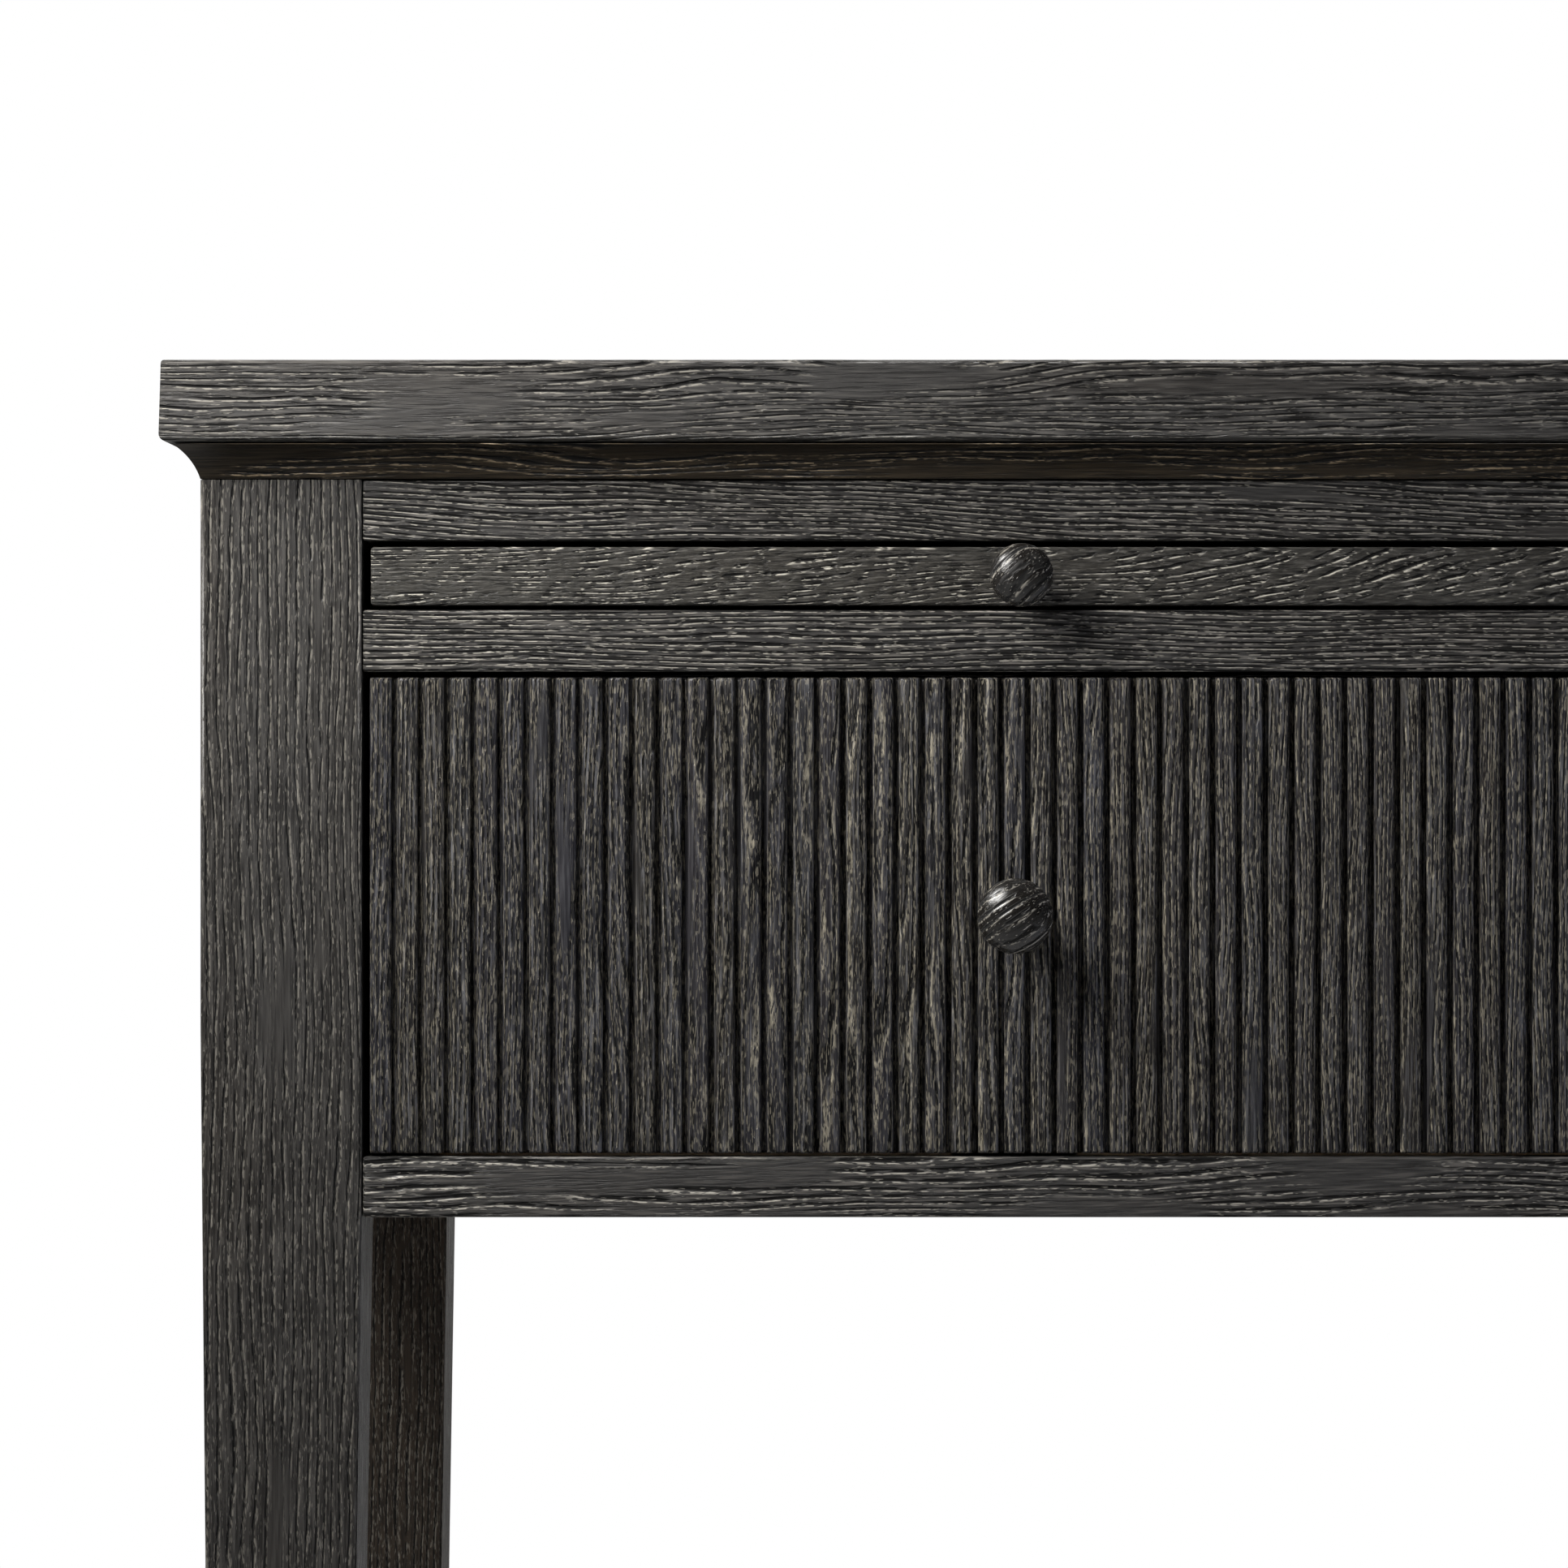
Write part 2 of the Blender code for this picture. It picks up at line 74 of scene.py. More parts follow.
BRUSHED_BLACK = {
    "late": "#363534",
    "early": "#1f1e1d",
    "brown": "#2b2620",
    "hair": "#0d0c0b",
    "hair_show": 0.9,
    # painted sheen: a lighter colour on scattered fibres that stands in for the satin sheen
    "painted_sheen": "#555350",
    "painted_sheen_show": 0.8,
    # near black in the cracks: painted shade of the brushed grooves
    "crack": "#010101",
    # pale wax, which along the cracks' far lips also paints their highlight
    "wax_and_lip_highlight": "#b4afa4",
    "wax_and_lip_highlight_show": 0.50,
    "relief": 0.00080,
    "smooth": 0.36,
    "gloss": 0.25,
}
GRAIN_TURN = {
    "X": (0.0, -math.pi / 2, 0.0),
    "Y": (math.pi / 2, 0.0, 0.0),
    "Z": (0.0, 0.0, 0.0),
}


def oak(
    name,
    finish,
    grain,
    middle,
    seed,
    pith=(0.08, 0.01),
    lean=(0.0, 0.0, 0.0),
    ring=0.0022,
    calm=0.42,
    pores=0.0007,
    fleck=0.0,
    pitted=0.64,
    gape=0.32,
    wander=7.0,
    staves=None,
    tints=None,
):
    """Oak, cut from a log whose pith runs along the grain, `pith` metres away from the board's `middle`.

    Each growth ring starts with a row of open pores. Brushing opens that row to a crack, `gape` of the ring
    wide, and leaves the dense latewood standing. The crack's near black is painted shade of the groove, and
    the pale band along its far side is a little wax together with a painted highlight of that lip. The pith
    values given put the pith above the horizontal boards, so that this is their lower lip, which faces the
    light. `lean` tips the board in the log, `wander` is how many rings the grain strays sideways, and a
    higher `calm` leaves larger smooth patches. Real pores are 0.3 mm wide, and are drawn twice as wide so
    that they show.
    """
    material = bpy.data.materials.new(name)
    material.use_nodes = True
    tree = material.node_tree
    tree.nodes.clear()
    add = partial(add_node, tree)

    place = add("TexCoord").node.outputs["Object"]
    if staves:
        # Each glued stave, or each reed, comes from its own strip, so it has its own place in the log
        axis, start, width = staves
        apart = add("SeparateXYZ", {0: place}).node.outputs[axis]
        number = add("Math", {0: apart, 1: start}, operation="SUBTRACT")
        number = add("Math", {0: number, 1: width}, operation="DIVIDE")
        number = add("Math", {0: number}, operation="FLOOR")
        number = add("Math", {0: number, 1: seed * 7.31}, operation="ADD")
        own = add("TexWhiteNoise", {"W": number}, noise_dimensions="1D").node.outputs["Color"]
        moved = add("VectorMath", {0: own, 1: (0.031, 0.027, 0.29)}, operation="MULTIPLY")
        place = add("VectorMath", {0: place, 1: moved}, operation="ADD")
        own_tone = add("SeparateColor", {0: own}).node.outputs
    turn = Euler(GRAIN_TURN[grain]).to_matrix() @ Euler(lean).to_matrix()
    offset = Vector((*pith, seed * 0.137)) - turn @ Vector(middle)
    in_log = add("Mapping", {"Vector": place, "Location": offset, "Rotation": turn.to_euler()})

    # Cells of noise, in metres across and along the grain
    seen = {}
    for pattern, across, along, detail in (
        ("wander", 0.022, 0.120, 1.0),
        ("waver", 0.005, 0.020, 1.0),
        ("breaks", 0.0020, 0.009, 1.0),
        ("quiet", 0.010, 0.080, 2.0),
        ("dashes", pores, pores * 4, 1.0),
        ("pits", pores * 0.7, pores * 5, 1.0),
        ("fibres", 0.0007, 0.016, 3.0),
        ("broad", 0.025, 0.200, 2.0),
    ):
        cells = add("VectorMath", {0: in_log, 1: (1 / across, 1 / across, 1 / along)}, operation="MULTIPLY")
        seen[pattern] = add("TexNoise", {"Vector": cells, "Scale": 1.0, "Detail": detail})

    # Growth rings, counted out from the pith. They wander along the log and waver finely.
    flat = add("VectorMath", {0: in_log, 1: (1.0, 1.0, 0.0)}, operation="MULTIPLY")
    radius = add("VectorMath", {0: flat}, operation="LENGTH").node.outputs["Value"]
    rings = add("Math", {0: radius, 1: 1 / ring}, operation="MULTIPLY")
    rings = add("Math", {0: seen["wander"], 1: wander, 2: rings}, operation="MULTIPLY_ADD")
    rings = add("Math", {0: seen["waver"], 1: 0.6, 2: rings}, operation="MULTIPLY_ADD")
    part = add("Math", {0: rings}, operation="FRACT")

    # Where the cracks are: broken along their length, and missing on the calm patches
    unbroken = add("MapRange", {0: seen["breaks"], 1: 0.32, 2: 0.48}, interpolation_type="SMOOTHSTEP")
    lively = add(
        "MapRange", {0: seen["quiet"], 1: calm - 0.05, 2: calm + 0.05}, interpolation_type="SMOOTHSTEP"
    )
    if fleck:
        # Medullary rays, cut along their length, lie across the pores as smooth slanting ribbons
        slanted = add("Mapping", {"Vector": in_log, "Rotation": (0.0, math.radians(35), 0.0)})
        cells = add("VectorMath", {0: slanted, 1: (1 / 0.0035, 1 / 0.0035, 1 / 0.016)}, operation="MULTIPLY")
        rays = add("TexNoise", {"Vector": cells, "Scale": 1.0, "Detail": 1.0})
        bare = add("MapRange", {0: rays, 1: 0.48, 2: 0.56, 3: 1.0, 4: 1.0 - fleck})
        lively = add("Math", {0: lively, 1: bare}, operation="MULTIPLY")
    alive = add("Math", {0: unbroken, 1: lively}, operation="MULTIPLY")
    patchy = add("MapRange", {0: lively, 3: 0.5, 4: 1.0})
    shapes = {}
    # The near-black band over each crack paints the shade in the groove
    for shape, stops in (
        ("crack", ((0, 0), (0.09, 1), (gape - 0.08, 0.9), (gape + 0.10, 0), (1, 0))),
        ("dark_pores_and_shade", ((0, 0.8), (0.04, 1), (gape - 0.10, 1), (gape, 0), (0.88, 0), (1, 0.8))),
        ("pale", ((0, 0), (gape - 0.03, 0), (gape + 0.05, 1), (gape + 0.13, 0.6), (gape + 0.22, 0))),
    ):
        ramp = add("ValToRGB", {"Fac": part})
        points = ramp.node.color_ramp.elements
        while len(points) < len(stops):
            points.new(0.5)
        for point, (position, bright) in zip(points, stops):
            point.position = position
            point.color = (bright, bright, bright, 1.0)
        shapes[shape] = add("Math", {0: ramp, 1: alive}, operation="MULTIPLY")
    dashes = add("MapRange", {0: seen["dashes"], 1: 0.43, 2: 0.53}, interpolation_type="SMOOTHSTEP")
    pits = add("MapRange", {0: seen["pits"], 1: pitted, 2: pitted + 0.08}, interpolation_type="SMOOTHSTEP")
    pits = add("Math", {0: pits, 1: lively}, operation="MULTIPLY")
    # Pale marks: wax in the pits, and along the crack's far lip wax together with a painted highlight of
    # that lip
    wax_and_lip_highlight = add("Math", {0: shapes["pale"], 1: dashes}, operation="MULTIPLY")
    wax_and_lip_highlight = add("Math", {0: pits, 1: 0.5, 2: wax_and_lip_highlight}, operation="MULTIPLY_ADD")
    wax_and_lip_highlight = add("Math", {0: wax_and_lip_highlight, 1: finish["wax_and_lip_highlight_show"]}, operation="MULTIPLY", use_clamp=True)

    # Colour: latewood, brown where stain is thin, painted sheen on scattered fibres, dark fibres, earlywood,
    # cracks in a near black that is painted groove shade, and pale wax that along the cracks' lips is also
    # painted highlight
    weak = add("Math", {0: shapes["crack"], 1: 0.7}, operation="MULTIPLY")
    hair = add("MapRange", {0: seen["fibres"], 1: 0.51, 2: 0.62, 4: finish["hair_show"]})
    hair = add("Math", {0: hair, 1: patchy}, operation="MULTIPLY")
    # Lighter colour on scattered fibres: painted sheen
    painted_sheen = add("MapRange", {0: seen["fibres"], 1: 0.46, 2: 0.36, 4: finish["painted_sheen_show"]})
    painted_sheen = add("Math", {0: painted_sheen, 1: patchy}, operation="MULTIPLY")
    thin = add("MapRange", {0: seen["broad"], 1: 0.40, 2: 0.70, 4: 0.4})
    # Near black over the cracks: painted shade of the groove
    dark_pores_and_shade = add("Math", {0: shapes["dark_pores_and_shade"], 1: 0.9}, operation="MULTIPLY")
    layers = [(thin, finish["brown"]), (painted_sheen, finish["painted_sheen"])]
    layers += [(hair, finish["hair"]), (weak, finish["early"])]
    for channel, tint in enumerate(tints or ()):
        share = add("Math", {0: own_tone[channel], 1: 0.3}, operation="MULTIPLY")
        layers.append((share, tint))
    layers += [(dark_pores_and_shade, finish["crack"]), (wax_and_lip_highlight, finish["wax_and_lip_highlight"])]
    colour = linear(finish["late"])
    for share, tint in layers:
        mixed = add("Mix", {0: share, 6: colour, 7: linear(tint)}, data_type="RGBA")
        colour = mixed.node.outputs[2]

    # Relief: hairlines are shallow, pits deeper, cracks deepest
    height = add("Math", {0: hair, 1: -0.35}, operation="MULTIPLY")
    height = add("Math", {0: shapes["crack"], 1: -1.0, 2: height}, operation="MULTIPLY_ADD")
    height = add("Math", {0: pits, 1: -0.35, 2: height}, operation="MULTIPLY_ADD")
    bump = add("Bump", {"Height": height, "Strength": 1.0, "Distance": finish["relief"]})
    smooth = finish["smooth"]
    rough = add("MapRange", {0: shapes["dark_pores_and_shade"], 3: smooth, 4: 1.0})
    shader = add(
        "BsdfPrincipled",
        {
            "Base Color": colour,
            "Roughness": rough,
            "Normal": bump,
            "Metallic": 0.0,
            "IOR": 1.5,
            "Specular IOR Level": finish["gloss"],
        },
    )
    add("OutputMaterial", {"Surface": shader})
    return material


def round_edges(bm, edges, width, segments=4):
    """Rounds edges and smooths only the rounded strips, so that the flats stay flat."""
    made = bmesh.ops.bevel(
        bm,
        geom=list(edges),
        offset=width,
        offset_type="OFFSET",
        affect="EDGES",
        segments=segments,
        profile=0.5,
        clamp_overlap=True,
        material=-1,
    )
    for face in made["faces"]:
        face.smooth = True


def make_piece(name, bm, material, body, slot, *replaced):
    """Turns a finished mesh into a piece that rides on its body and stands for its CAD nodes."""
    bmesh.ops.recalc_face_normals(bm, faces=bm.faces)
    mesh = bpy.data.meshes.new(name)
    bm.to_mesh(mesh)
    bm.free()
    mesh.materials.append(material)
    made = bpy.data.objects.new(name, mesh)
    bpy.context.scene.collection.objects.link(made)
    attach(made, body)
    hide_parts(*replaced)
    return made


def block(low, high):
    """A mesh of one plain block between two corners."""
    size, middle = high - low, (high + low) / 2
    bm = bmesh.new()
    bmesh.ops.create_cube(
        bm, size=1.0, matrix=Matrix.Translation(middle) @ Matrix.Diagonal((*size, 1.0))
    )
    return bm


TOP_LEAN = 0.0007
UPPER_ARRIS = 0.0011
LOWER_ARRIS = 0.0023
TOP_STAVES = 5
top_low, top_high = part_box("top_panel")
bm = block(top_low, top_high)
upper = [v for v in bm.verts if v.co.z > top_low.z + 0.01]
for vert in upper:
    vert.co.x -= math.copysign(TOP_LEAN, vert.co.x)
    vert.co.y -= math.copysign(TOP_LEAN, vert.co.y - (top_low.y + top_high.y) / 2)
lower_edges = [e for e in bm.edges if all(v.co.z < top_low.z + 0.001 for v in e.verts)]
round_edges(bm, lower_edges, LOWER_ARRIS, 6)
upper_edges = [e for e in bm.edges if all(v.co.z > top_high.z - 0.001 for v in e.verts)]
round_edges(bm, upper_edges, UPPER_ARRIS, 4)
stave = (top_high.y - top_low.y) / TOP_STAVES
front_stave = Vector((0.0, top_low.y, (top_low.z + top_high.z) / 2))
top_oak = oak(
    "brushed_black_oak_top",
    {**BRUSHED_BLACK, "wax_and_lip_highlight_show": 0.42},
    "X",
    front_stave,
    3,
    pith=(0.050, 0.020),
    lean=(0.0, 0.004, 0.02),
    ring=0.0020,
    calm=0.41,
    gape=0.27,
    staves=(1, top_low.y - 0.001, stave),
)
make_piece("top", bm, top_oak, "frame", "top_oak", "top_panel")


# ---------------------------------------------------------------- Cove moulding
# Four lengths of oak moulding with a hollow face, mitred at the corners, between top and legs.
# The cutter leaves the hollow smoother than the brushed faces. Its colour is darker and browner than theirs,
# and the darkness is painted shade from under the top.

COVE_RADIUS = 0.0191
COVE_LEAN = math.radians(16.7)
COVE_STEPS = 18
# darker, browner colours for the cove: the darkness is painted shade under the top
MOULDED_BLACK_WITH_SHADE = {
    **BRUSHED_BLACK,
    "late": "#272119",
    "early": "#17120e",
    "painted_sheen": "#40382d",
    "wax_and_lip_highlight": "#ab997e",
    "wax_and_lip_highlight_show": 0.65,
    "relief": 0.0006,
    "smooth": 0.42,
}
leg_low, leg_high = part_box("leg_front_left")
far_low, far_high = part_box("leg_rear_right")
frame_middle_y = (leg_low.y + far_high.y) / 2


def cove_section(height, width):
    """(out, up) round the moulding's section, its hollow worked out as an arc."""
    out_middle = COVE_RADIUS * math.cos(COVE_LEAN)
    up_middle = -COVE_RADIUS * math.sin(COVE_LEAN)
    last = math.asin((height - up_middle) / COVE_RADIUS)
    turns = [COVE_LEAN + (last - COVE_LEAN) * i / COVE_STEPS for i in range(COVE_STEPS + 1)]
    arc = [
        (out_middle - COVE_RADIUS * math.cos(a), up_middle + COVE_RADIUS * math.sin(a))
        for a in turns
    ]
    return [(-width, 0.0), *arc, (-width, height)]


for number, side in enumerate(("front", "right", "back", "left")):
    low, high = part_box(f"cove_{side}")
    along_x = side in ("front", "back")
    half = far_high.x if along_x else (far_high.y - leg_low.y) / 2
    reach = (far_high.y - leg_low.y) / 2 if along_x else far_high.x
    bm = bmesh.new()
    ring = [
        bm.verts.new((-(half + out - 0.00015), -(reach + out), low.z + up))
        for out, up in cove_section(high.z - low.z, 0.060)
    ]
    swept = bmesh.ops.extrude_face_region(bm, geom=[bm.faces.new(ring)])["geom"]
    for vert in (v for v in swept if isinstance(v, bmesh.types.BMVert)):
        vert.co.x *= -1.0
    for face in bm.faces:
        face.smooth = len(face.verts) == 4 and face.calc_area() < 0.004
    turn = Matrix.Rotation(number * math.pi / 2, 4, "Z")
    bmesh.ops.transform(
        bm, matrix=Matrix.Translation((0.0, frame_middle_y, 0.0)) @ turn, verts=bm.verts
    )
    cove_oak = oak(
        f"moulded_black_oak_cove_{side}",
        MOULDED_BLACK_WITH_SHADE,
        "X" if along_x else "Y",
        (low + high) / 2,
        11 + number,
        pith=(0.07, 0.02),
        lean=(0.0, 0.006, 0.0),
        calm=0.49,
    )
    make_piece(f"cove_moulding_{side}", bm, cove_oak, "frame", "cove_oak", f"cove_{side}")


# ---------------------------------------------------------------- Legs
# Square legs sawn from rift-cut oak, so that their rings run straight down all four faces.
# Below the apron the inner faces taper, and the outer faces less. The rear pair is coloured browner and
# darker, which paints the shade and warm bounced light that fall on them.

INNER_TAPER = 0.0085
OUTER_TAPER = 0.0050
OUTER_TAPER_RISE = 0.060
LEG_ARRIS = 0.0012
FOOT_ARRIS = 0.0015
LEG_BLACK = {
    **BRUSHED_BLACK,
    "late": "#343332",
    "hair_show": 0.55,
    "painted_sheen_show": 0.35,
    "wax_and_lip_highlight_show": 0.32,
}
# a browner, darker copy for the rear legs: painted shade and warm bounced light
REAR_LEG_BLACK_IN_SHADE = {**LEG_BLACK, "late": "#2a241e", "painted_sheen": "#383027"}
apron_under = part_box("bottom_rail")[0].z
for number, leg in enumerate(("front_left", "front_right", "rear_left", "rear_right")):
    low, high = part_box(f"leg_{leg}")
    across = -1 if "left" in leg else 1
    deep = -1 if "front" in leg else 1
    outer_x = low.x if across < 0 else high.x
    outer_y = low.y if deep < 0 else high.y
    width = high.x - low.x
    taper_top = apron_under + OUTER_TAPER_RISE
    bm = block(low, high)
    for level in (apron_under, taper_top):
        bmesh.ops.bisect_plane(
            bm,
            geom=[*bm.verts, *bm.edges, *bm.faces],
            plane_co=(0.0, 0.0, level),
            plane_no=(0.0, 0.0, 1.0),
        )
    for vert in bm.verts:
        for axis, outer, way in ((0, outer_x, across), (1, outer_y, deep)):
            if abs(vert.co[axis] - outer) < 0.001:
                fall = max(0.0, (taper_top - vert.co.z) / (taper_top - low.z))
                vert.co[axis] -= way * OUTER_TAPER * fall
            else:
                fall = max(0.0, (apron_under - vert.co.z) / (apron_under - low.z))
                vert.co[axis] += way * INNER_TAPER * fall
    upright = [e for e in bm.edges if abs(e.verts[0].co.z - e.verts[1].co.z) > 0.01]
    round_edges(bm, upright, LEG_ARRIS, 4)
    foot_edges = [e for e in bm.edges if all(v.co.z < low.z + 0.0001 for v in e.verts)]
    round_edges(bm, foot_edges, FOOT_ARRIS, 2)
    leg_oak = oak(
        f"brushed_black_oak_leg_{leg}",
        LEG_BLACK if deep < 0 else REAR_LEG_BLACK_IN_SHADE,
        "Z",
        (low + high) / 2,
        21 + number,
        pith=(-0.10 * across, 0.11),
        ring=0.0023,
        calm=0.34,
        pores=0.0006,
        pitted=0.58,
        gape=0.20,
        wander=3.5,
    )
    make_piece(f"{leg}_leg", bm, leg_oak, "frame", "frame_oak", f"leg_{leg}")


# ---------------------------------------------------------------- Rails and stiles
# Flat-laid rails tenoned into the legs, and stiles between the bays, each with its own board's figure.

FRONT_ARRIS = 0.0009
RAIL_BLACK = {**BRUSHED_BLACK, "painted_sheen": "#625f5b", "wax_and_lip_highlight": "#c9c4b8", "wax_and_lip_highlight_show": 0.58}
# Grain, seed, place of the pith, slope of the grain, calm
FRONT_PIECES = {
    "top_rail": ("X", 31, (0.06, 0.03), -0.035, 0.36),
    "bottom_rail": ("X", 32, (0.04, 0.04), 0.020, 0.46),
    "mid_rail_left": ("X", 33, (0.12, 0.01), 0.0, 0.22),
    "mid_rail_centre": ("X", 34, (0.11, 0.01), 0.004, 0.38),
    "mid_rail_right": ("X", 35, (0.10, 0.02), -0.003, 0.38),
    "stile_left": ("Z", 36, (0.10, 0.11), 0.0, 0.38),
    "stile_right": ("Z", 37, (0.09, 0.12), 0.0, 0.38),
}
for name, (grain, seed, pith, slope, calm) in FRONT_PIECES.items():
    low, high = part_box(name)
    bm = block(low, high)
    round_edges(bm, bm.edges, FRONT_ARRIS, 3)
    middle = Vector(((low.x + high.x) / 2, low.y, (low.z + high.z) / 2))
    rail_oak = oak(
        f"brushed_black_oak_{name}",
        RAIL_BLACK,
        grain,
        middle,
        seed,
        pith=pith,
        lean=(0.0, slope, 0.0),
        ring=0.0018,
        calm=calm,
        gape=0.37,
        wander=5.0,
    )
    slot = "frame_oak" if "stile" in name else "rail_oak"
    make_piece(f"front_{name}", bm, rail_oak, "frame", slot, name)


# ---------------------------------------------------------------- Side and back panels
# Two wide staves glued edge to edge, planed and brushed like the rest, set just behind the legs' faces.

for number, (name, grain) in enumerate(
    (("side_panel_left", "Y"), ("side_panel_right", "Y"), ("back_panel", "X"))
):
    low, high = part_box(name)
    bm = block(low, high)
    round_edges(bm, bm.edges, FRONT_ARRIS, 3)
    panel_oak = oak(
        f"brushed_black_oak_{name}",
        BRUSHED_BLACK,
        grain,
        (low + high) / 2,
        41 + number,
        pith=(0.02, 0.05),
        lean=(0.0, 0.01, 0.02),
        calm=0.44,
        staves=(2, low.z, (high.z - low.z) / 2),
    )
    make_piece(f"apron_{name}", bm, panel_oak, "frame", "rail_oak", name)


# ---------------------------------------------------------------- Slides
# A shelf board that pulls out over each drawer, partly quarter-sawn, so that rays cross its front edge.

SLIDE_ARRIS = 0.0011
SLIDE_BLACK = {**BRUSHED_BLACK, "late": "#33322f", "wax_and_lip_highlight": "#cfcabd", "wax_and_lip_highlight_show": 0.76}
for number, bay in enumerate(BAYS):
    name = f"slide_{bay}_board"
    low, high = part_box(name)
    bm = block(low, high)
    round_edges(bm, bm.edges, SLIDE_ARRIS, 4)
    slide_oak = oak(
        f"brushed_black_oak_slide_{bay}",
        SLIDE_BLACK,
        "X",
        Vector(((low.x + high.x) / 2, low.y, (low.z + high.z) / 2)),
        51 + number,
        pith=(0.03, 0.028),
        lean=(0.0, 0.0, 0.12),
        ring=0.0015,
        calm=0.36,
        fleck=0.9,
        gape=0.30,
    )
    make_piece(f"slide_{bay}", bm, slide_oak, f"slide_{bay}", "slide_oak", name)


# ---------------------------------------------------------------- Drawer fronts
# Vertical reeds run over the whole front, with a narrow round-shouldered groove between each two.
# Every reed was shaped from its own strip, so each has its own grain and a slightly different tone.

REED_COUNT = 49
EDGE_REED = 0.0078
GROOVE = 0.0018
GROOVE_DEPTH = 0.0030
SHOULDER = 0.0014
CROWN = 0.0002
REED_ENDS = 0.0011
REEDED_BLACK = {
    **BRUSHED_BLACK,
    "late": "#323233",
    "early": "#171616",
    "brown": "#282624",
    "painted_sheen": "#636365",
    "wax_and_lip_highlight": "#b5ad99",
    "wax_and_lip_highlight_show": 0.46,
}


def reed_outline(width, deep):
    """(across, back) points round the front seen from above."""
    pitch = (width - 2 * EDGE_REED) / (REED_COUNT - 2)
    valleys = [-width / 2 + EDGE_REED + i * pitch for i in range(REED_COUNT - 1)]
    starts = [-width / 2, *[v + GROOVE / 2 for v in valleys]]
    ends = [*[v - GROOVE / 2 for v in valleys], width / 2]
    turns = [math.pi / 2 * i / 4 for i in range(5)]
    points = []
    for start, end in zip(starts, ends):
        left = [
            (start + SHOULDER * (1 - math.cos(a)), SHOULDER * (1 - math.sin(a)) + CROWN)
            for a in turns
        ]
        right = [(start + end - x, y) for x, y in reversed(left)]
        foot = [(start, GROOVE_DEPTH)] if start > -width / 2 else []
        heel = [(end, GROOVE_DEPTH)] if end < width / 2 else []
        points += [*foot, *left, ((start + end) / 2, 0.0), *right, *heel]
    return [*points, (width / 2, deep), (-width / 2, deep)]


for number, bay in enumerate(BAYS):
    name = f"drawer_{bay}_front"
    low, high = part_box(name)
    middle = (low.x + high.x) / 2
    outline = reed_outline(high.x - low.x, high.y - low.y)
    pitch = (high.x - low.x - 2 * EDGE_REED) / (REED_COUNT - 2)
    bm = bmesh.new()
    cap = bm.faces.new([bm.verts.new((middle + x, low.y + y, low.z)) for x, y in outline])
    for g in bmesh.ops.extrude_face_region(bm, geom=[cap])["geom"]:
        if isinstance(g, bmesh.types.BMVert):
            g.co.z = high.z
    turns = [math.pi / 2 * i / 3 for i in range(1, 4)]
    rises = [REED_ENDS * (1 - math.cos(a)) for a in turns]
    steps = [REED_ENDS + (high.z - low.z - 2 * REED_ENDS) * i / 18 for i in range(1, 18)]
    for level in (*[low.z + r for r in rises], *[low.z + s for s in steps], *[high.z - r for r in rises]):
        bmesh.ops.bisect_plane(
            bm,
            geom=[*bm.verts, *bm.edges, *bm.faces],
            plane_co=(0.0, 0.0, level),
            plane_no=(0.0, 0.0, 1.0),
        )
    for vert in bm.verts:
        if vert.co.y > high.y - 0.005:
            continue
        rise = min(vert.co.z - low.z, high.z - vert.co.z)
        if rise < REED_ENDS:
            vert.co.y += REED_ENDS - math.sqrt(max(0.0, REED_ENDS**2 - (REED_ENDS - rise) ** 2))
        if low.x + 0.001 < vert.co.x < high.x - 0.001:
            reed = math.floor((vert.co.x - low.x - EDGE_REED) / pitch)
            vert.co.x += 0.00016 * noise.noise(Vector((reed * 3.7, number * 9.0, vert.co.z * 22.0)))
    for face in bm.faces:
        face.smooth = len(face.verts) == 4
    reed_oak = oak(
        f"reeded_black_oak_{bay}",
        REEDED_BLACK,
        "Z",
        (low + high) / 2,
        61 + number,
        pith=(0.05, 0.06),
        ring=0.0016,
        calm=0.34,
        pores=0.0006,
        pitted=0.54,
        staves=(0, low.x + EDGE_REED, pitch),
        tints=("#2c241b", "#282a36"),
    )
    make_piece(f"reeded_front_{bay}", bm, reed_oak, f"drawer_{bay}", "reeded_oak", name)


# ---------------------------------------------------------------- Knobs
# Turned oak knobs with a domed face and a waisted neck. They were polished on the lathe and shine more than
# the rest. Their outline is given in shares of the radius.

